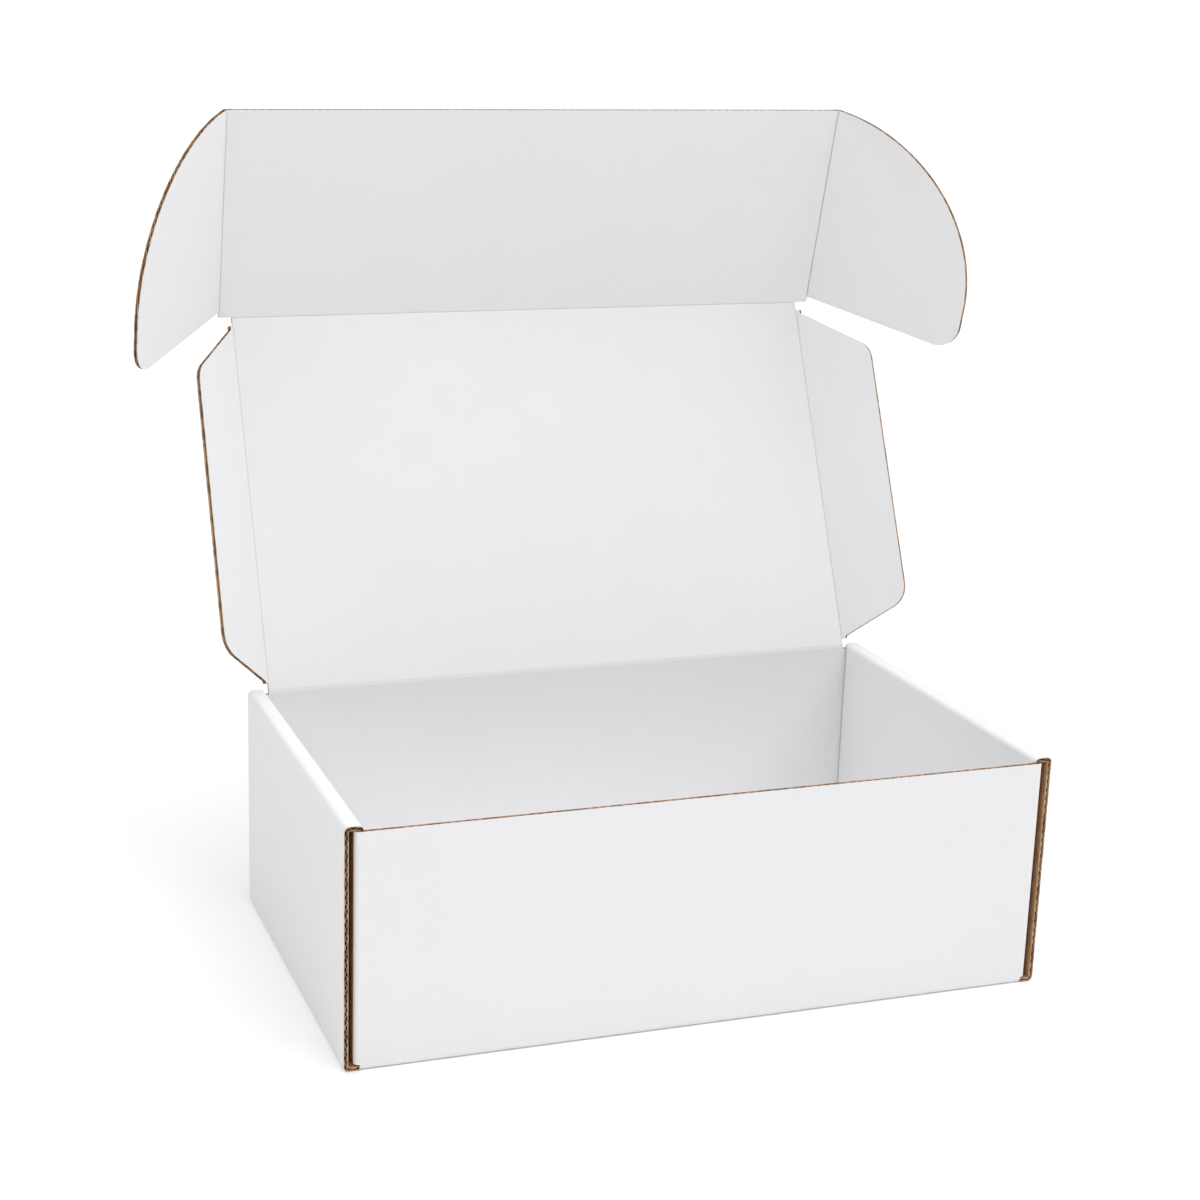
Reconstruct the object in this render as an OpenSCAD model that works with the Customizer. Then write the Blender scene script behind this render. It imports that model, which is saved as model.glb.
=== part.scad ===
/* [Box] */
// Outside length, side wall to side wall
box_l = 270; // [200:1:360]
// Outside depth, front panel to back panel
box_w = 154; // [130:1:240]
// Outside height, up to the rolled top of the side walls
box_h = 90; // [60:1:130]

/* [Board] */
// Thickness of the corrugated board
board = 1.6; // [1.2:0.1:2.2]
// Thickness of each flat liner of the board
liner = 0.25; // [0.15:0.05:0.35]
// Thickness of the fluted paper between the liners
medium = 0.2; // [0.1:0.05:0.25]
// Distance from one flute to the next
flute_pitch = 3.3; // [2.6:0.1:4.2]
// Inside radius of a finished fold
fold_r = 0.4; // [0.2:0.1:0.8]

/* [Fits] */
// Clearance on each side of an ear in its slot
ear_fit = 0.2; // [0.1:0.05:0.5]
// Clearance between a closed lid flap and the inner side wall
lid_fit = 0.4; // [0.2:0.1:1]
// Gap between layers that lie against each other
nest_gap = 0.1; // [0.05:0.05:0.3]
// Distance of each panel from the line of an open crease
crease_gap = 0.15; // [0.1:0.05:0.3]
// Gap between the front panel and the closed tuck flap or lid
front_gap = 0.4; // [0.2:0.1:1]
// Clearance between a closed lid flap and the front panel
flap_front_fit = 1.3; // [0.6:0.1:3]
// Clearance between a closed lid flap and the back panel
flap_back_fit = 2.2; // [1:0.1:4]

/* [Side walls] */
// How far the raw front and back edges of the side walls stand back
wall_setback = 0.5; // [0:0.1:2]
// Length of each lock tab under the inner walls
tab_l = 32; // [15:1:45]
// Distance from the middle of the box to the middle of a lock tab
tab_place = 40; // [28:1:40]
// Clearance around a lock tab in its slot
tab_fit = 0.2; // [0.1:0.05:0.5]
// Length of the corner flaps folded into the side walls
corner_flap_l = 46; // [20:1:55]
// Slant cut off the lower free corner of each corner flap
corner_flap_cut = 12; // [4:1:20]

/* [Lid] */
// Opening angle of the lid, 0 when closed
lid_angle = 115; // [0:1:180]
// Width of the two lid flaps
lid_flap_w = 32; // [15:1:45]
// Slant at the tuck end of a lid flap, along the lid
lid_flap_front_cut = 24; // [5:1:30]
// Slant at the hinge end of a lid flap, along the lid
lid_flap_back_cut = 12; // [5:1:30]
// Radius of the rounded corners of a lid flap
lid_flap_r = 10; // [2:1:12]
// Bend of the lid flaps towards the inside
lid_flap_angle = 50; // [0:1:90]
// Bend that the lid flaps have reached when the lid is shut
lid_flap_shut_angle = 136; // [90:1:140]

/* [Tuck flap] */
// Bend of the tuck flap towards the inside
tuck_angle = 39; // [0:1:90]
// Width of the two ears on the tuck flap
ear_w = 77; // [40:1:80]
// Distance of an ear's edge from the crease between lid and tuck flap
ear_gap = 2.6; // [2.2:0.1:6]
// Height of the straight part of an ear's outer edge
ear_shoulder = 8; // [2:1:8]
// Radius of the corner between that part and the ear's edge beside the lid
ear_corner_r = 11; // [3:1:14]
// Bend of the left ear towards the inside
ear_left_angle = 55; // [0:1:90]
// Bend of the right ear towards the inside
ear_right_angle = 60; // [0:1:90]

/* [Hidden] */

white = "#f4f4f2";
half_t = board / 2;
half_l = box_l / 2;
half_w = box_w / 2;

// Folds: radius of the middle of the board, outside radius, and flats per corner
fold_mid_r = fold_r + half_t;
fold_out_r = fold_r + board;
fold_steps = 5;
curve_steps = 28;
corner_steps = 8;

// Side wall roll, from outside to inside: outer wall, ear slot, corner flap, inner wall
ear_slot = board + 2 * ear_fit;
roll_w = board + ear_slot + board + nest_gap + board;
outer_wall_x = half_l - half_t;
corner_flap_x = half_l - board - ear_slot - half_t;
inner_wall_x = half_l - roll_w + half_t;
inner_wall_z = board + nest_gap;

// Front panel top edge and the flat width between its rounded ends
front_top = box_h - board - front_gap;
panel_flat_x = corner_flap_x + half_t - fold_out_r;
flap_lift = 0.8;

// Creases of the lid, the tuck flap and their flaps, in the middle of the board
lid_crease_y = half_w - half_t;
lid_crease_z = box_h - half_t;
lid_half = half_l - roll_w - lid_fit - half_t;
lid_len = box_w - half_t + front_gap + half_t;
// Slant of the inner edges at the side creases, which lets the flaps bend past upright
lid_flap_cut = half_t * tan(lid_flap_shut_angle / 2);
tuck_half = half_l - board - ear_fit - half_t;
tuck_len = box_h - half_t - board - front_gap;
flap_start = half_t + flap_back_fit;
flap_end = lid_len - half_t - front_gap - board - flap_front_fit;

// Flutes: half height inside the liners, and the slope of the fluted paper
core = half_t - liner;
flute_flat = 0.18 * flute_pitch;
flute_run = flute_pitch / 2 - flute_flat;
flute_rise = 2 * core - medium;
flute_skew = medium / sin(atan2(flute_rise, flute_run));
// Solid board left beside a crease, where the flutes are crushed
crush = 3;
// How far a cut or a joint reaches past the face it starts from
reach_past = 1;

// One straight path turned into a rounded one, and into the outline of a board
function unit(v) = v / norm(v);
function normal(v) = [-v.y, v.x];
function turn(a, b) = (b - a + 540) % 360 - 180;
function arc(c, r, from, sweep, n) = [for (k = [0:n]) c + r * [cos(from + sweep * k / n), sin(from + sweep * k / n)]];
function heading(v) = atan2(v.y, v.x);
function corner(a, b, c, r, n) =
    let (u = unit(a - b), v = unit(c - b), half = acos(u * v) / 2)
    let (centre = b + unit(u + v) * r / sin(half), reach = r / tan(half))
    let (from = heading(b + u * reach - centre), to = heading(b + v * reach - centre))
    arc(centre, r, from, turn(from, to), n);
function rounded(p, r, n) =
    [for (i = [0:len(p) - 1]) each (i == 0 || i == len(p) - 1) ? [p[i]] : corner(p[i - 1], p[i], p[i + 1], r, n)];
function beside(p, i, d) =
    let (j = max(i, 1), k = min(i + 1, len(p) - 1))
    let (n = normal(unit(p[j] - p[j - 1])) + normal(unit(p[k] - p[k - 1])))
    p[i] + n * 2 * d / (n * n);
function board_outline(p) =
    concat([for (i = [0:len(p) - 1]) beside(p, i, half_t)], [for (i = [len(p) - 1:-1:0]) beside(p, i, -half_t)]);
function folded(p) = board_outline(rounded(p, fold_mid_r, fold_steps));

// Half width of the space over a flute at height z, measured at the fluted paper
function flute_edge(z) = flute_flat / 2 + (z + core - medium / 2) * flute_run / flute_rise - flute_skew / 2;

// A row of flute spaces along X, centred at 0, that fits in the given length
module flutes(length) {
    n = floor(length / flute_pitch);
    wide = flute_edge(core);
    narrow = flute_edge(medium - core);
    for (i = [0:1:n - 1]) {
        x = (i - (n - 1) / 2) * flute_pitch;
        translate([x, 0])
            polygon([[-wide, core], [wide, core], [narrow, medium - core], [-narrow, medium - core]]);
        if (i < n - 1)
            translate([x + flute_pitch / 2, 0])
                polygon([[-wide, -core], [wide, -core], [narrow, core - medium], [-narrow, core - medium]]);
    }
}

// Extrusion along +Y of a section drawn in X and Z
module along_y(from, to) {
    translate([0, to, 0])
        rotate([90, 0, 0])
            linear_extrude(to - from)
                children();
}

// Extrusion along +X of a section drawn in Y and Z
module along_x(from, to) {
    translate([from, 0, 0])
        rotate([90, 0, 90])
            linear_extrude(to - from)
                children();
}

module both_sides() {
    children();
    mirror([1, 0, 0])
        children();
}

// Base, side walls, rolls and inner walls: one strip of board folded six times
module side_wrap() {
    path = [
        [-inner_wall_x, inner_wall_z],
        [-inner_wall_x, box_h - half_t],
        [-outer_wall_x, box_h - half_t],
        [-outer_wall_x, half_t],
        [outer_wall_x, half_t],
        [outer_wall_x, box_h - half_t],
        [inner_wall_x, box_h - half_t],
        [inner_wall_x, inner_wall_z]
    ];
    along_y(wall_setback - half_w, half_w - wall_setback)
        difference() {
            polygon(folded(path));
            both_sides()
                translate([outer_wall_x, box_h / 2])
                    rotate(90)
                        flutes(box_h - 2 * fold_out_r);
        }
}

// Inner walls end behind the front and back panels, and the base gives way to their folds
module side_wrap_cuts() {
    inner_end = half_w - board - nest_gap;
    cut_low = inner_wall_z - reach_past;
    for (s = [-1, 1]) {
        y = s < 0 ? -half_w : inner_end;
        both_sides()
            translate([inner_wall_x - half_t - reach_past, y, cut_low])
                cube([reach_past + board + nest_gap, half_w - inner_end, front_top + nest_gap - cut_low]);
        translate([-panel_flat_x, s < 0 ? -half_w : half_w - fold_out_r, -reach_past])
            cube([2 * panel_flat_x, fold_out_r, board + 2 * reach_past]);
    }
    for (s = [-1, 1], side = [-1, 1])
        translate([side * inner_wall_x, s * tab_place, half_t])
            cube([board + 2 * tab_fit, tab_l + 2 * tab_fit, 2 * board], center = true);
}

// Lock tabs that reach from the inner walls through the slots in the base
module lock_tabs() {
    for (s = [-1, 1], side = [-1, 1])
        translate([side * inner_wall_x - half_t, s * tab_place - tab_l / 2, nest_gap])
            cube([board, tab_l, inner_wall_z + board]);
}

// A front or back panel seen from above, with its two corner flaps, for the panel at -Y
module panel_plan() {
    end_y = corner_flap_l - half_w;
    polygon(folded([
        [-corner_flap_x, end_y],
        [-corner_flap_x, half_t - half_w],
        [corner_flap_x, half_t - half_w],
        [corner_flap_x, end_y]
    ]));
}

// Panel at -Y up to the given height, with its fold into the base
module end_panel(top, fluted) {
    low = board + flap_lift;
    solid_top = fluted ? low + crush : top;
    difference() {
        union() {
            translate([0, 0, low])
                linear_extrude(solid_top - low)
                    panel_plan();
            if (fluted)
                translate([0, 0, solid_top])
                    linear_extrude(top - solid_top)
                        difference() {
                            panel_plan();
                            translate([0, half_t - half_w])
                                flutes(2 * panel_flat_x);
                        }
        }
        corner_flap_cuts();
    }
    along_x(-panel_flat_x, panel_flat_x)
        polygon(folded([
            [2 * fold_out_r - half_w, half_t],
            [half_t - half_w, half_t],
            [half_t - half_w, low + crush]
        ]));
}

// Slanted lower corners of the corner flaps
module corner_flap_cuts() {
    end_y = corner_flap_l - half_w;
    both_sides()
        along_x(corner_flap_x - board, corner_flap_x + board)
            polygon([
                [end_y - corner_flap_cut, 0],
                [end_y + reach_past, 0],
                [end_y + reach_past, corner_flap_cut + reach_past]
            ]);
}

// Back panel above its corner flaps, up to the lid crease
module back_top() {
    tip = lid_crease_z - crease_gap;
    along_x(-lid_half, lid_half)
        polygon([
            [half_w - board, front_top - reach_past],
            [half_w, front_top - reach_past],
            [half_w, tip - half_t],
            [half_w - half_t, tip],
            [half_w - board, tip - half_t]
        ]);
}

// A flat board with flutes along Y, a raw outline and a crease along its X = 0 edge
module creased_flap(outline, width, length, inner_cut) {
    intersection() {
        along_y(0, length)
            difference() {
                polygon([
                    [crease_gap, 0],
                    [crease_gap + inner_cut, half_t],
                    [width, half_t],
                    [width, -half_t],
                    [crease_gap + half_t, -half_t]
                ]);
                translate([(crush + width) / 2, 0])
                    flutes(width - crush - liner);
            }
        linear_extrude(2 * board, center = true)
            polygon(outline);
    }
}

// Outline of a lid flap: across the lid in X, along it in Y
function lid_flap_outline() =
    let (w = lid_flap_w, r = lid_flap_r)
    concat(
        [[0, flap_start]],
        corner([0, flap_start], [w, flap_start + lid_flap_back_cut], [w, flap_end], r, corner_steps),
        corner([w, flap_start], [w, flap_end - lid_flap_front_cut], [0, flap_end], r, corner_steps),
        [[0, flap_end]]
    );

// Outline of an ear: a rounded corner beside the lid, a short straight part, then a quarter of an ellipse
function ear_outline() =
    let (mid = ear_gap + ear_shoulder + ear_corner_r, tall = tuck_len - mid)
    concat(
        [[0, ear_gap]],
        arc([ear_w - ear_corner_r, ear_gap + ear_corner_r], ear_corner_r, -90, 90, corner_steps),
        [for (k = [0:curve_steps]) [ear_w * cos(90 * k / curve_steps), mid + tall * sin(90 * k / curve_steps)]]
    );

// Frames of the moving panels: X across, Y away from the crease, Z to the inside
module lid_frame() {
    translate([0, lid_crease_y, lid_crease_z])
        rotate([180 - lid_angle, 0, 0])
            children();
}

module tuck_frame() {
    lid_frame()
        translate([0, lid_len, 0])
            rotate([tuck_angle, 0, 0])
                children();
}

module bent_right(x, angle) {
    translate([x, 0, 0])
        rotate([0, -angle, 0])
            children();
}

module bent_left(x, angle) {
    mirror([1, 0, 0])
        bent_right(x, angle)
            children();
}

// Section of a board between two creases, thinned at both
module between_creases(from, to, inner_cut) {
    polygon([
        [from + crease_gap, 0],
        [from + crease_gap + inner_cut, half_t],
        [to - crease_gap - inner_cut, half_t],
        [to - crease_gap, 0],
        [to - crease_gap - half_t, -half_t],
        [from + crease_gap + half_t, -half_t]
    ]);
}

module lid_board() {
    intersection() {
        along_y(0, lid_len)
            between_creases(-lid_half, lid_half, lid_flap_cut);
        along_x(-lid_half, lid_half)
            between_creases(0, lid_len, half_t);
    }
}

module tuck_board() {
    crushed = crease_gap + half_t + crush;
    intersection() {
        union() {
            along_y(0, crushed)
                between_creases(-tuck_half, tuck_half, half_t);
            along_y(crushed, tuck_len)
                difference() {
                    between_creases(-tuck_half, tuck_half, half_t);
                    flutes(2 * (tuck_half - crush));
                }
        }
        along_x(-tuck_half, tuck_half)
            polygon([
                [crease_gap, 0],
                [crease_gap + half_t, half_t],
                [tuck_len, half_t],
                [tuck_len, -half_t],
                [crease_gap + half_t, -half_t]
            ]);
    }
}

module tray() {
    color(white)
        union() {
            difference() {
                side_wrap();
                side_wrap_cuts();
            }
            lock_tabs();
            end_panel(front_top, true);
            mirror([0, 1, 0])
                end_panel(front_top, false);
            back_top();
        }
}

module lid_panel() {
    color(white)
        lid_frame()
            lid_board();
}

module lid_flap() {
    creased_flap(lid_flap_outline(), lid_flap_w, lid_len, lid_flap_cut);
}

module lid_flap_left() {
    color(white)
        lid_frame()
            bent_left(lid_half, lid_flap_angle)
                lid_flap();
}

module lid_flap_right() {
    color(white)
        lid_frame()
            bent_right(lid_half, lid_flap_angle)
                lid_flap();
}

module tuck_flap() {
    color(white)
        tuck_frame()
            tuck_board();
}

module ear() {
    creased_flap(ear_outline(), ear_w, tuck_len, half_t);
}

module ear_left() {
    color(white)
        tuck_frame()
            bent_left(tuck_half, ear_left_angle)
                ear();
}

module ear_right() {
    color(white)
        tuck_frame()
            bent_right(tuck_half, ear_right_angle)
                ear();
}

tray();
lid_panel();
lid_flap_left();
lid_flap_right();
tuck_flap();
ear_left();
ear_right();
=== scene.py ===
import math

import bmesh
import bpy
from mathutils import Matrix, Vector


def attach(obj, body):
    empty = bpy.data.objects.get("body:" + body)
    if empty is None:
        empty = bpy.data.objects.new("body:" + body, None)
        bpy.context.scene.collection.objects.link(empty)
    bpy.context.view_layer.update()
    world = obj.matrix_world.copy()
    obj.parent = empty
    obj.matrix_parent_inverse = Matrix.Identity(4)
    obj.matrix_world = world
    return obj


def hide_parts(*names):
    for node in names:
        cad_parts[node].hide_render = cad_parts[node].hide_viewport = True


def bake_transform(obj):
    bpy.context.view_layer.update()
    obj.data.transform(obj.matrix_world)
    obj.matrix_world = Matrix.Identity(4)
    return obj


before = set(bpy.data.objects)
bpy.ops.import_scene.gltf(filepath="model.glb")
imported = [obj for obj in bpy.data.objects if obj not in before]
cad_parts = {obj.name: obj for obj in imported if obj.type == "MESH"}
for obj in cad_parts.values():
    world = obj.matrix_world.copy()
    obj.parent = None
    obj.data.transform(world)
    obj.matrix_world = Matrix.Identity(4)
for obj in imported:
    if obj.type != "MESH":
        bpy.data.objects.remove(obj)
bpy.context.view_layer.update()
print("frame loaded:", ", ".join(sorted(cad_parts)))

# sizes of the folded box, all in millimetres and degrees

box = {
    "length": 270.0,
    "depth": 154.0,
    "height": 90.0,
    "lidOpen": 115.0,  # 0 is shut
    "tuckBend": 39.0,
    "earBend": {"left": 55.0, "right": 60.0},
    "flapBend": 50.0,
}

board = {
    "thick": 1.6,
    "liner": 0.25,
    "medium": 0.2,  # the fluted paper between the liners
    "pitch": 3.3,  # one flute
    "stepsPerFlute": 12,
    "fluteInset": 0.15,  # the fluted paper starts this far inside the liners
    "creaseHalf": 2.2,  # each crease strip reaches this far on both sides
    "sharpAngle": 38,
}

halfT = board["thick"] / 2
halfL = box["length"] / 2
halfW = box["depth"] / 2
core = halfT - board["liner"]
waveHigh = core - board["medium"] / 2
creaseHalf = board["creaseHalf"]
tiny = 0.001
almostZero = 1e-9
nudge = 0.01  # to both sides of a place where a board changes its width


def scaled(matrix):
    return Matrix.Scale(0.001, 4) @ matrix


def turnX(degrees):
    return Matrix.Rotation(math.radians(degrees), 4, "X")


def turnY(degrees):
    return Matrix.Rotation(math.radians(degrees), 4, "Y")


def shift(x, y, z):
    return Matrix.Translation((x, y, z))


def basis(across, up, along):
    m = Matrix.Identity(4)
    for i, v in enumerate((across, up, along)):
        m[0][i], m[1][i], m[2][i] = v
    return m


# a path of straight runs with a bend of the given radius at each corner

def roundedPath(corners, radius, steps):
    pts = [Vector(corners[0])]
    for a, b, c in zip(corners, corners[1:], corners[2:]):
        a, b, c = Vector(a), Vector(b), Vector(c)
        u, v = (a - b).normalized(), (c - b).normalized()
        half = math.acos(max(-1, min(1, u.dot(v)))) / 2
        centre = b + (u + v).normalized() * radius / math.sin(half)
        start = b + u * radius / math.tan(half) - centre
        turn = math.pi - 2 * half
        if u.cross(v) > 0:
            turn = -turn
        for k in range(steps + 1):
            cosW, sinW = math.cos(turn * k / steps), math.sin(turn * k / steps)
            pts.append(centre + Vector((start.x * cosW - start.y * sinW, start.x * sinW + start.y * cosW)))
    pts.append(Vector(corners[-1]))
    return pts


# the middle line of a bent board, seen along its flutes

class Section:
    def __init__(self, pts):
        self.pts = [Vector(p) for p in pts]
        self.dist = [0.0]
        for a, b in zip(self.pts, self.pts[1:]):
            self.dist.append(self.dist[-1] + (b - a).length)
        self.length = self.dist[-1]
        self.normals = []
        for i in range(len(self.pts)):
            a, b = self.pts[max(i - 1, 0)], self.pts[min(i + 1, len(self.pts) - 1)]
            t = (b - a).normalized()
            self.normals.append(Vector((-t.y, t.x)))

    def at(self, s):
        s = max(0.0, min(self.length, s))
        lo, hi = 0, len(self.dist) - 1
        while hi - lo > 1:
            mid = (lo + hi) // 2
            if self.dist[mid] <= s:
                lo = mid
            else:
                hi = mid
        w = (s - self.dist[lo]) / max(almostZero, self.dist[lo + 1] - self.dist[lo])
        point = self.pts[lo].lerp(self.pts[lo + 1], w)
        normal = self.normals[lo].lerp(self.normals[lo + 1], w).normalized()
        return point, normal


def line(a, b):
    return Section([a, b])


white, raw, fluted, paintedSlotShade, pale = range(5)  # places in paperSet


# a mesh in the making: points, distance across the flutes at each, faces, material of each face

def newMesh():
    return [], [], [], []


# one layer of board: stations (s, low end, high end, upper offset, lower offset)

def addLayer(mesh, section, place, stations, faceUp, faceDown, edge, highEdge=None):
    verts, across, faces, mats = mesh
    highEdge = edge if highEdge is None else highEdge
    first = len(verts)
    for s, lo, hi, upper, lower in stations:
        p, n = section.at(s)
        for offset, v in ((upper, lo), (upper, hi), (lower, lo), (lower, hi)):
            q = p + n * offset
            verts.append(place @ Vector((q.x, q.y, v)))
            across.append(s / 1000)
    for k in range(len(stations) - 1):
        a, b = first + 4 * k, first + 4 * (k + 1)
        mid = (stations[k][0] + stations[k + 1][0]) / 2
        up, down = (m(mid) if callable(m) else m for m in (faceUp, faceDown))
        faces += [(a, b, b + 1, a + 1), (a + 2, a + 3, b + 3, b + 2)]
        faces += [(a, a + 2, b + 2, b), (a + 1, b + 1, b + 3, a + 3)]
        mats += [up, down, edge, highEdge]
    last = first + 4 * (len(stations) - 1)
    faces += [(first, first + 1, first + 3, first + 2), (last, last + 2, last + 3, last + 1)]
    mats += [edge, edge]


def fluteStations(start, end, spans):
    count = max(2, math.ceil((end - start) / board["pitch"] * board["stepsPerFlute"]))
    out = []
    for k in range(count + 1):
        s = start + (end - start) * k / count
        wave = waveHigh * math.sin(2 * math.pi * s / board["pitch"])
        out.append((s, *spans(s), wave + board["medium"] / 2, wave - board["medium"] / 2))
    return out


# a whole board: two liners with the fluted paper between them

def addBoard(mesh, section, place, stops, spans, upper=white, lower=white, highEdge=raw):
    topLiner = [(s, *spans(s), halfT, core) for s in stops]
    lowLiner = [(s, *spans(s), -core, -halfT) for s in stops]
    flutes = fluteStations(stops[0] + board["fluteInset"], stops[-1] - board["fluteInset"], spans)
    addLayer(mesh, section, place, topLiner, upper, raw, raw, highEdge)
    addLayer(mesh, section, place, lowLiner, raw, lower, raw, highEdge)
    addLayer(mesh, section, place, flutes, fluted, fluted, raw, highEdge)


def finishMesh(name, mesh, materials):
    verts, across, faces, mats = mesh
    data = bpy.data.meshes.new(name)
    data.from_pydata(verts, [], faces)
    for m in materials:
        data.materials.append(m)
    data.polygons.foreach_set("material_index", mats)
    data.polygons.foreach_set("use_smooth", [True] * len(faces))
    data.attributes.new("acrossFlutes", "FLOAT", "POINT").data.foreach_set("value", across)
    data.update()
    obj = bpy.data.objects.new(name, data)
    bpy.context.scene.collection.objects.link(obj)
    bm = bmesh.new()
    bm.from_mesh(data)
    bmesh.ops.remove_doubles(bm, verts=bm.verts, dist=1e-7)
    bmesh.ops.recalc_face_normals(bm, faces=bm.faces)
    bm.to_mesh(data)
    bm.free()
    data.set_sharp_from_angle(angle=math.radians(board["sharpAngle"]))
    return obj


# materials

paper = {
    "white": (0.88, 0.88, 0.89),
    "edgeLight": (0.76, 0.56, 0.40),
    "edgeDark": (0.60, 0.42, 0.28),
    "fluteLight": (0.40, 0.24, 0.13),
    "fluteDark": (0.26, 0.145, 0.075),
    # painted shade: dark brown put on the white faces inside the narrow ear slots
    "slotShade": (0.55, 0.31, 0.15),
    "slotDark": 0.7,  # share of the shade
    # painted light: a paler copy of the cut edge for the tuck flap's free edge, which faces up to the light
    "palePaper": (0.80, 0.78, 0.75),
    "paleDark": 0.95,
    "stain": (0.66, 0.61, 0.56),  # darker places along the cut edges
    "mottle": 0.004,  # share of the tone
    "linerShine": (0.62, 0.25),  # roughness and specular level
    "rawShine": (0.85, 0.1),
    "grain": 0.000015,  # bump heights in metres
    "washboard": 0.000006,
}

noises = {  # scale and detail
    "mottle": (45, 4),
    "linerGrain": (1800, 3),
    "rawGrain": (3000, 3),
    "stain": (190, 2),
    "edge": (900, 5),
    "flute": (1500, 5),
    "slot": (300, 5),
    "pale": (900, 5),
}

ramps = {  # where the dark tone ends and the light one starts
    "mottle": (0.3, 0.7),
    "fibres": (0.35, 0.65),
    "stain": (0.44, 0.52),
}


def newMaterial(name, roughness, specular):
    m = bpy.data.materials.new(name)
    m.use_nodes = True
    nodes, links = m.node_tree.nodes, m.node_tree.links
    shader = nodes["Principled BSDF"]
    shader.inputs["Roughness"].default_value = roughness
    shader.inputs["Specular IOR Level"].default_value = specular
    return m, nodes, links, shader


def noise(nodes, links, kind):
    where = nodes.new("ShaderNodeTexCoord")
    texture = nodes.new("ShaderNodeTexNoise")
    texture.inputs["Scale"].default_value, texture.inputs["Detail"].default_value = noises[kind]
    links.new(where.outputs["Object"], texture.inputs["Vector"])
    return texture.outputs["Fac"]


def twoTones(nodes, links, factor, dark, light, kind):
    ramp = nodes.new("ShaderNodeValToRGB")
    for element, tone, place in zip(ramp.color_ramp.elements, (dark, light), ramps[kind]):
        element.color = (*tone, 1)
        element.position = place
    links.new(factor, ramp.inputs["Fac"])
    return ramp.outputs["Color"]


def math2(nodes, links, operation, a, b=None):
    node = nodes.new("ShaderNodeMath")
    node.operation = operation
    links.new(a, node.inputs[0])
    if b is not None:
        node.inputs[1].default_value = b
    return node.outputs[0]


def bump(nodes, links, height, distance, normal=None):
    node = nodes.new("ShaderNodeBump")
    node.inputs["Distance"].default_value = distance
    links.new(height, node.inputs["Height"])
    if normal is not None:
        links.new(normal, node.inputs["Normal"])
    return node.outputs["Normal"]


# smooth white paper in which the flutes show through as a faint washboard

def linerPaper(name, tone):
    m, nodes, links, shader = newMaterial(name, *paper["linerShine"])
    dark = [c * (1 - paper["mottle"]) for c in tone]
    light = [c * (1 + paper["mottle"]) for c in tone]
    color = twoTones(nodes, links, noise(nodes, links, "mottle"), dark, light, "mottle")
    links.new(color, shader.inputs["Base Color"])
    across = nodes.new("ShaderNodeAttribute")
    across.attribute_name = "acrossFlutes"
    angle = math2(nodes, links, "MULTIPLY", across.outputs["Fac"], 2000 * math.pi / board["pitch"])
    ridges = bump(nodes, links, math2(nodes, links, "SINE", angle), paper["washboard"])
    fine = bump(nodes, links, noise(nodes, links, "linerGrain"), paper["grain"], ridges)
    links.new(fine, shader.inputs["Normal"])
    return m


# torn or cut paper with fibres, and with stains where it is given a stain

def rawPaper(name, light, dark, kind, stain=(1, 1, 1)):
    m, nodes, links, shader = newMaterial(name, *paper["rawShine"])
    fibres = twoTones(nodes, links, noise(nodes, links, kind), dark, light, "fibres")
    stains = twoTones(nodes, links, noise(nodes, links, "stain"), stain, (1, 1, 1), "stain")
    mixed = nodes.new("ShaderNodeMix")
    mixed.data_type = "RGBA"
    mixed.blend_type = "MULTIPLY"
    mixed.inputs["Factor"].default_value = 1
    colorIn = [x for x in mixed.inputs if x.type == "RGBA"]
    links.new(fibres, colorIn[0])
    links.new(stains, colorIn[1])
    links.new(next(x for x in mixed.outputs if x.type == "RGBA"), shader.inputs["Base Color"])
    fine = bump(nodes, links, noise(nodes, links, "rawGrain"), paper["grain"])
    links.new(fine, shader.inputs["Normal"])
    return m


def darker(tone, share):
    return [c * share for c in tone]


whiteLiner = linerPaper("whiteLiner", paper["white"])
rawEdge = rawPaper("rawEdge", paper["edgeLight"], paper["edgeDark"], "edge", paper["stain"])
fluting = rawPaper("fluting", paper["fluteLight"], paper["fluteDark"], "flute", paper["stain"])
# painted shade for the insides of the ear slots, whose real liner is white
paintedSlotShadePaper = rawPaper("paintedSlotShadePaper", paper["slotShade"], darker(paper["slotShade"], paper["slotDark"]), "slot")
# painted light: the raw edge made pale where light from above falls on it
paintedLitEdge = rawPaper("paintedLitEdge", paper["palePaper"], darker(paper["palePaper"], paper["paleDark"]), "pale")
paperSet = [whiteLiner, rawEdge, fluting, paintedSlotShadePaper, paintedLitEdge]
print("materials made")

# side walls: one strip from the left inner wall, over the roll and under the base, to the right inner wall

wall = {
    "setback": 0.5,
    "earSlot": 2.0,
    "foldRadius": 1.2,  # middle of the board
    "foldSteps": 12,
    "layerGap": 0.1,
    "topGap": 0.4,  # between the front and back panels and the roll
    "endGap": 0.5,  # between the ends of an inner wall and the panels
    "baseZone": 10,  # below this height an inner wall has the base's length
    "innerMargin": 0.3,
    "stopStep": 20,
    "tabLength": 32.0,
    "tabPlace": 40.0,
    "tabLow": 0.1,
    "tabOverlap": 0.4,  # each tab reaches this far into its wall
    "tabInset": 0.02,
}

rollWide = 3 * board["thick"] + wall["earSlot"] + wall["layerGap"]
outerX = halfL - halfT
innerX = halfL - rollWide + halfT
cornerFlapX = halfL - board["thick"] - wall["earSlot"] - halfT
innerLow = board["thick"] + wall["layerGap"]
foldOut = wall["foldRadius"] + halfT
rollZ = box["height"] - halfT
frontTop = box["height"] - board["thick"] - wall["topGap"]
panelFlat = cornerFlapX + halfT - foldOut

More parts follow.
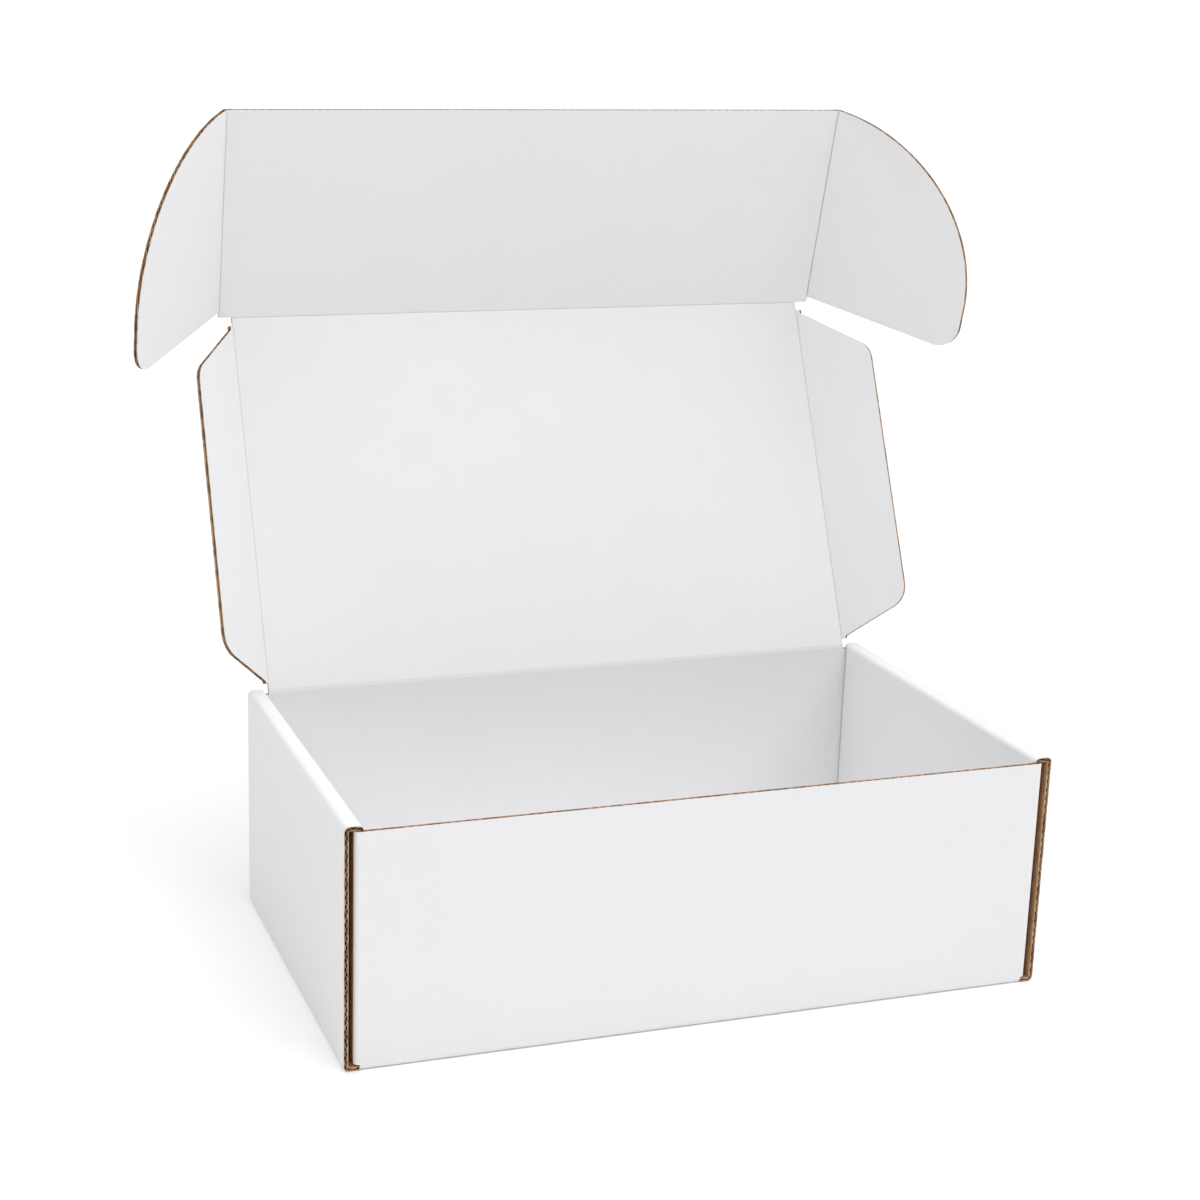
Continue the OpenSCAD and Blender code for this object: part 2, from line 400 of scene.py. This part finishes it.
wallCorners = [(-innerX, innerLow), (-innerX, rollZ), (-outerX, rollZ), (-outerX, halfT),
               (outerX, halfT), (outerX, rollZ), (innerX, rollZ), (innerX, innerLow)]
wallSection = Section(roundedPath(wallCorners, wall["foldRadius"], wall["foldSteps"]))
wallEnd = halfW - wall["setback"]
innerEnd = halfW - board["thick"] - wall["endGap"]
sideways = scaled(basis((1, 0, 0), (0, 0, 1), (0, 1, 0)))


def wallSpans(s):
    p, n = wallSection.at(s)
    if abs(p.x) < panelFlat and p.y < wall["baseZone"]:
        end = halfW - foldOut
    elif abs(p.x) < innerX + wall["innerMargin"] and p.y < frontTop + wall["layerGap"]:
        end = innerEnd
    else:
        end = wallEnd
    return -end, end


def stopsFor(section, step, breaks):
    stops = set(section.dist)
    n = math.ceil(section.length / step)
    stops.update(section.length * k / n for k in range(n + 1))
    for b in breaks:
        stops.update((b - nudge, b + nudge))
    return sorted(x for x in stops if 0 <= x <= section.length)


# the places where a board changes its width, each found by halving

def findBreaks(section, spans, step=0.5, rounds=30):
    found = []
    n = int(section.length / step)
    for k in range(n):
        a, b = section.length * k / n, section.length * (k + 1) / n
        if spans(a) == spans(b):
            continue
        for i in range(rounds):
            mid = (a + b) / 2
            if spans(mid) == spans(a):
                a = mid
            else:
                b = mid
        found.append((a + b) / 2)
    return found


# the wall's faces inside the ear slots get the painted slot shade, the rest stays white
def inSlot(s):
    p, n = wallSection.at(s)
    return white if abs(p.x) < innerX + halfT and p.y < 2 * foldOut else paintedSlotShade


sideMesh = newMesh()
sideStops = stopsFor(wallSection, wall["stopStep"], findBreaks(wallSection, wallSpans))
addBoard(sideMesh, wallSection, sideways, sideStops, wallSpans, upper=inSlot)
tabOut = halfT - wall["tabInset"]
for side in (-1, 1):
    for end in (-1, 1):
        tab = line((side * innerX, wall["tabLow"]), (side * innerX, innerLow + wall["tabOverlap"]))
        mid, half = end * wall["tabPlace"], wall["tabLength"] / 2
        tabEnds = [(s, mid - half, mid + half, tabOut, -tabOut) for s in (0, tab.length)]
        addLayer(sideMesh, tab, sideways, tabEnds, white, white, raw)
sideWalls = finishMesh("sideWalls", sideMesh, paperSet)
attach(sideWalls, "tray")
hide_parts("tray")
print("side walls folded")

# front and back panels, seen from above, each with its two corner flaps

panel = {
    "flapLength": 46.0,
    "flapCut": 12.0,
    "lift": 2.4,  # free edge of the corner flaps above the table
    "foldTop": 6.0,
    "stopStep": 30,
}

lid = {
    "frontGap": 0.4,
    "sideGap": 0.4,  # between the lid's side creases and the inner walls
    "edgeInset": 0.2,  # boards and strips end this far inside those creases
    "flapWide": 32.0,
    "flapStart": 3.0,
    "flapEndGap": 0.5,
    "flapFrontCut": 24.0,
    "flapBackCut": 12.0,
    "flapRadius": 10.0,
    "cornerSteps": 16,
    "flapStops": 50,
}

lidHalf = innerX - halfT - lid["sideGap"] - halfT  # half width between the lid's side creases
lidEdge = lidHalf - lid["edgeInset"]
upright = scaled(basis((1, 0, 0), (0, 1, 0), (0, 0, 1)))
lengthways = scaled(basis((0, 1, 0), (0, 0, 1), (1, 0, 0)))
mirrorX = Matrix.Diagonal((-1, 1, 1, 1))
mirrorY = Matrix.Diagonal((1, -1, 1, 1))
flapEnd = panel["flapLength"] - halfW
panelY = halfT - halfW
stripLow = rollZ - creaseHalf  # where the strip of the lid crease starts
panelCorners = [(-cornerFlapX, flapEnd), (-cornerFlapX, panelY),
                (cornerFlapX, panelY), (cornerFlapX, flapEnd)]
panelSection = Section(roundedPath(panelCorners, wall["foldRadius"], wall["foldSteps"]))
foldCorners = [(2 * foldOut - halfW, halfT), (panelY, halfT), (panelY, panel["foldTop"])]
foldSection = Section(roundedPath(foldCorners, wall["foldRadius"], wall["foldSteps"]))


def panelSpans(lidSide):
    def spans(s):
        p, n = panelSection.at(s)
        low = panel["lift"] + max(0.0, min(panel["flapCut"], p.y - flapEnd + panel["flapCut"]))
        if abs(p.x) <= panelFlat + tiny:
            low = panel["foldTop"]
        return low, stripLow if lidSide and abs(p.x) < lidEdge else frontTop
    return spans


# the corner flaps' faces inside the ear slots get the painted slot shade, the rest stays white
def slotFace(s):
    p, n = panelSection.at(s)
    return paintedSlotShade if abs(p.x) > panelFlat and p.y > foldOut - halfW else white


panelStops = stopsFor(panelSection, panel["stopStep"],
                      [panelSection.length / 2 + x for x in (-panelFlat, -lidEdge, lidEdge, panelFlat)])
panelStops = sorted(panelStops + [panel["flapCut"], panelSection.length - panel["flapCut"]])
foldEnds = [(s, -panelFlat, panelFlat, halfT, -halfT) for s in foldSection.dist]

for name, lidSide in (("frontPanel", False), ("backPanel", True)):
    flip = mirrorY if lidSide else Matrix.Identity(4)
    mesh = newMesh()
    addBoard(mesh, panelSection, flip @ upright, panelStops, panelSpans(lidSide), lower=slotFace)
    addLayer(mesh, foldSection, flip @ lengthways, foldEnds, white, white, raw)
    obj = finishMesh(name, mesh, paperSet)
    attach(obj, "tray")
print("front and back panels folded")

# lid, tuck flap and their flaps

tuck = {
    "sideFit": 0.2,  # the tuck flap is this much narrower than the box on each side
    "foot": 0.4,  # its lower edge stands this far off the crease beside the lid
    "earWide": 77.0,
    "earGap": 2.85,  # the ears clear the side walls when the lid is shut
    "earShoulder": 8.0,
    "earRadius": 11.0,
    "cornerSteps": 16,
    "curveSteps": 60,
    "earStops": 80,
}

lidLen = box["depth"] + lid["frontGap"]
tuckHalf = halfL - board["thick"] - tuck["sideFit"] - halfT
tuckLen = box["height"] - halfT - board["thick"] - lid["frontGap"]
flapEndV = lidLen - lid["frontGap"] - 2 * board["thick"] - lid["flapEndGap"]

lidFrame = shift(0, halfW - halfT, rollZ) @ turnX(180 - box["lidOpen"])
tuckFrame = lidFrame @ shift(0, lidLen, 0) @ turnX(box["tuckBend"])
flat = basis((1, 0, 0), (0, 0, 1), (0, 1, 0))  # across, up from the sheet, along the flutes


def arc(cx, cy, r, start, sweep, steps):
    angles = [math.radians(start + sweep * k / steps) for k in range(steps + 1)]
    return [(cx + r * math.cos(a), cy + r * math.sin(a)) for a in angles]


def cornerArc(a, b, c, r, steps):
    pts = roundedPath([a, b, c], r, steps)
    return [(p.x, p.y) for p in pts[1:-1]]


wide, near, far = lid["flapWide"], lid["flapStart"], flapEndV
backCorner = [(0, near), (wide, near + lid["flapBackCut"]), (wide, far)]
frontCorner = [(wide, near), (wide, far - lid["flapFrontCut"]), (0, far)]
flapOutline = [(0, near)]
flapOutline += cornerArc(*backCorner, lid["flapRadius"], lid["cornerSteps"])
flapOutline += cornerArc(*frontCorner, lid["flapRadius"], lid["cornerSteps"])
flapOutline += [(0, far)]

wide, near, bend = tuck["earWide"], tuck["earGap"], tuck["earRadius"]
earMid = near + tuck["earShoulder"] + bend
quarter = [math.pi / 2 * k / tuck["curveSteps"] for k in range(tuck["curveSteps"] + 1)]
earOutline = [(0, near)]
earOutline += arc(wide - bend, near + bend, bend, -90, 90, tuck["cornerSteps"])
earOutline += [(wide * math.cos(a), earMid + (tuckLen - earMid) * math.sin(a)) for a in quarter]


# lowest and highest point of an outline at each place across it

def spanOf(outline):
    def spans(u):
        hits = []
        for (x0, y0), (x1, y1) in zip(outline, outline[1:] + outline[:1]):
            if min(x0, x1) - almostZero <= u <= max(x0, x1) + almostZero:
                if abs(x1 - x0) < almostZero:
                    hits += [y0, y1]
                else:
                    hits.append(y0 + (y1 - y0) * (u - x0) / (x1 - x0))
        return min(hits), max(hits)
    return spans


def curvedStops(start, end, count):
    return [start + (end - start) * math.sin(math.pi / 2 * k / count) for k in range(count + 1)]


def addBlock(mesh, place, x0, x1, y0, y1):
    ends = [(s, y0, y1, halfT, -halfT) for s in (0, x1 - x0)]
    addLayer(mesh, line((x0, 0), (x1, 0)), scaled(place @ flat), ends, white, white, raw)


def lidSpans(s):
    return creaseHalf, lidLen - creaseHalf


lidMesh = newMesh()
lidFlat = lidHalf - creaseHalf
lidStops = [0, lidFlat, 2 * lidFlat]
addBoard(lidMesh, line((-lidFlat, 0), (lidFlat, 0)), scaled(lidFrame @ flat), lidStops, lidSpans)
for flip in (Matrix.Identity(4), mirrorX):
    addBlock(lidMesh, lidFrame @ flip, lidFlat, lidEdge, creaseHalf, lid["flapStart"])
    addBlock(lidMesh, lidFrame @ flip, lidFlat, lidEdge, flapEndV, lidLen - creaseHalf)
lidPanel = finishMesh("lidPanel", lidMesh, paperSet)
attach(lidPanel, "lid_panel")
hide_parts("lid_panel")

tuckMesh = newMesh()
tuckFlat = tuckHalf - creaseHalf
tuckEdge = tuckHalf - lid["edgeInset"]


def tuckSpans(s):
    return creaseHalf if abs(s - tuckFlat) < lidEdge else tuck["foot"], tuckLen


tuckStops = [0, tuckFlat, 2 * tuckFlat]
for x in (tuckFlat - lidEdge, tuckFlat + lidEdge):
    tuckStops += [x - nudge, x + nudge]
# the free top edge of the tuck flap gets the pale painted-light edge
addBoard(tuckMesh, line((-tuckFlat, 0), (tuckFlat, 0)), scaled(tuckFrame @ flat), sorted(tuckStops),
         tuckSpans, highEdge=pale)
for flip in (Matrix.Identity(4), mirrorX):
    addBlock(tuckMesh, tuckFrame @ flip, tuckFlat, tuckEdge, tuck["foot"], tuck["earGap"])
tuckFlap = finishMesh("tuckFlap", tuckMesh, paperSet)
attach(tuckFlap, "tuck_flap")
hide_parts("tuck_flap")

flapStops = curvedStops(creaseHalf, lid["flapWide"] - tiny, lid["flapStops"])
earStops = curvedStops(creaseHalf, tuck["earWide"] - tiny, tuck["earStops"])
flapLine = line((0, 0), (lid["flapWide"], 0))
earLine = line((0, 0), (tuck["earWide"], 0))

for side in ("left", "right"):
    flip = mirrorX if side == "left" else Matrix.Identity(4)
    flapFrame = lidFrame @ flip @ shift(lidHalf, 0, 0) @ turnY(-box["flapBend"])
    flapMesh = newMesh()
    addBoard(flapMesh, flapLine, scaled(flapFrame @ flat), flapStops, spanOf(flapOutline))
    flapObj = finishMesh("lidFlap" + side.capitalize(), flapMesh, paperSet)
    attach(flapObj, "lid_flap_" + side)
    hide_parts("lid_flap_" + side)
    earFrame = tuckFrame @ flip @ shift(tuckHalf, 0, 0) @ turnY(-box["earBend"][side])
    earMesh = newMesh()
    addBoard(earMesh, earLine, scaled(earFrame @ flat), earStops, spanOf(earOutline))
    earObj = finishMesh("ear" + side.capitalize(), earMesh, paperSet)
    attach(earObj, "ear_" + side)
    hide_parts("ear_" + side)
print("lid, tuck flap and ears made")

# creases: a strip of crushed board across each hinge

crease = {
    "curve": 0.9,  # half length of the bend
    "groove": {"LidBack": 0.06, "Tuck": 0.45, "LidFlap": 0.55, "Ear": 0.8},  # depths
    "grooveWide": 0.3,
    "steps": 32,
    "turning": 0.95,  # share of the strip that turns with the joint
}


def addCrease(kind, side, place, bend, start, end):
    a = Vector((-1, 0))
    b = Vector((math.cos(math.radians(bend)), math.sin(math.radians(bend))))
    c = crease["curve"]
    pts = [a * creaseHalf, a * (creaseHalf + c) / 2]
    for k in range(crease["steps"] + 1):
        t = k / crease["steps"]
        pts.append(a * c * (1 - t) ** 2 + b * c * t ** 2)
    pts += [b * (creaseHalf + c) / 2, b * creaseHalf]
    section = Section(pts)
    stations = []
    for s in section.dist:
        off = (s - section.length / 2) / crease["grooveWide"]
        groove = crease["groove"][kind] * math.exp(-off * off)
        stations.append((s, start, end, halfT - groove, -halfT))
    mesh = newMesh()
    whole = scaled(place @ flat)
    addLayer(mesh, section, whole, stations, white, white, fluted)
    obj = finishMesh("crease" + kind + side, mesh, paperSet)
    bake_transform(obj)


turned = Matrix.Rotation(math.radians(90), 4, "Z")  # for strips that run along X
backEdge = shift(0, halfW - halfT, rollZ) @ turnX(90) @ turned
tuckCrease = lidFrame @ shift(0, lidLen, 0) @ turned
addCrease("LidBack", "", backEdge, 90 - box["lidOpen"], -lidEdge, lidEdge)
addCrease("Tuck", "", tuckCrease, box["tuckBend"], -lidEdge, lidEdge)
for side in ("left", "right"):
    flip = mirrorX if side == "left" else Matrix.Identity(4)
    title = side.capitalize()
    place = lidFrame @ flip @ shift(lidHalf, 0, 0)
    addCrease("LidFlap", title, place, box["flapBend"], lid["flapStart"], flapEndV)
    place = tuckFrame @ flip @ shift(tuckHalf, 0, 0)
    addCrease("Ear", title, place, box["earBend"][side], tuck["earGap"], tuckLen)
print("creases made")

# floor, light and camera

studio = {
    "floorSize": 400,  # metres
    "floorTone": 0.99,
    "floorLift": 0.045,  # a trace of white seen by the camera only, for pale shadows
    "floorRoughness": 0.9,
    "worldStrength": 0.21,
    "lights": {  # direction to the light, its width in degrees, strength
        "overhead": ((0.0, 0.0, 1.0), 90, 1.95),
        "frontRight": ((0.9, -1.2, 1.8), 35, 0.50),
        "frontLeft": ((-0.9, -1.2, 1.8), 50, 0.30),
        "rightFill": ((2.2, -0.3, 1.0), 50, 0.57),
        "leftFill": ((-2.2, -0.6, 1.0), 50, 0.20),
    },
}

bpy.ops.mesh.primitive_plane_add(size=studio["floorSize"], location=(0, 0, 0))
floor = bpy.context.object
floor.name = "floor"
floorMat, nodes, links, shader = newMaterial("floorWhite", studio["floorRoughness"], 0.0)
shader.inputs["Base Color"].default_value = (studio["floorTone"],) * 3 + (1,)
shader.inputs["Emission Color"].default_value = (1, 1, 1, 1)
cameraRay = nodes.new("ShaderNodeLightPath").outputs["Is Camera Ray"]
lift = math2(nodes, links, "MULTIPLY", cameraRay, studio["floorLift"])
links.new(lift, shader.inputs["Emission Strength"])
floorMat.cycles.emission_sampling = "NONE"
floor.data.materials.append(floorMat)

world = bpy.data.worlds.new("studio")
bpy.context.scene.world = world
world.use_nodes = True
nodes, links = world.node_tree.nodes, world.node_tree.links
nodes.clear()
out = nodes.new("ShaderNodeOutputWorld")
seen = nodes.new("ShaderNodeBackground")  # what the camera sees
seen.inputs["Strength"].default_value = 1
lit = nodes.new("ShaderNodeBackground")  # what lights the box
lit.inputs["Strength"].default_value = studio["worldStrength"]
path = nodes.new("ShaderNodeLightPath")
mix = nodes.new("ShaderNodeMixShader")
for background in (seen, lit):
    background.inputs["Color"].default_value = (1, 1, 1, 1)
links.new(path.outputs["Is Camera Ray"], mix.inputs["Fac"])
links.new(lit.outputs["Background"], mix.inputs[1])
links.new(seen.outputs["Background"], mix.inputs[2])
links.new(mix.outputs["Shader"], out.inputs["Surface"])

for name, (toLight, width, strength) in studio["lights"].items():
    data = bpy.data.lights.new(name, "SUN")
    data.energy = strength
    data.angle = math.radians(width)
    obj = bpy.data.objects.new(name, data)
    bpy.context.scene.collection.objects.link(obj)
    obj.rotation_mode = "QUATERNION"
    obj.rotation_quaternion = Vector(toLight).to_track_quat("Z", "Y")

view = {
    "place": (-307.315, -741.423, 360.305),
    "yaw": -0.3149,  # radians
    "pitch": -0.2612,
    "roll": 0.0183,
    "picture": 1200,  # width and height in pixels
    "focal": 2197.1,  # in those pixels
    "centre": (475.13, 577.61),
    "sensor": 36,
    "clipStart": 0.01,
}

cosYaw, sinYaw = math.cos(view["yaw"]), math.sin(view["yaw"])
cosPitch, sinPitch = math.cos(view["pitch"]), math.sin(view["pitch"])
cosRoll, sinRoll = math.cos(view["roll"]), math.sin(view["roll"])
forward = Vector((-sinYaw * cosPitch, cosYaw * cosPitch, sinPitch))
right = Vector((cosYaw, sinYaw, 0))
up = right.cross(forward)
camRight = cosRoll * right + sinRoll * up
camUp = -sinRoll * right + cosRoll * up
camData = bpy.data.cameras.new("camera")
camera = bpy.data.objects.new("camera", camData)
bpy.context.scene.collection.objects.link(camera)
camera.matrix_world = Matrix.Translation(Vector(view["place"]) * 0.001) @ basis(camRight, camUp, -forward)
camData.sensor_width = view["sensor"]
camData.lens = view["focal"] / view["picture"] * view["sensor"]
camData.shift_x = (view["picture"] / 2 - view["centre"][0]) / view["picture"]
camData.shift_y = (view["centre"][1] - view["picture"] / 2) / view["picture"]
camData.clip_start = view["clipStart"]
bpy.context.scene.camera = camera
bpy.context.scene.view_settings.view_transform = "Standard"
print("light and camera set")
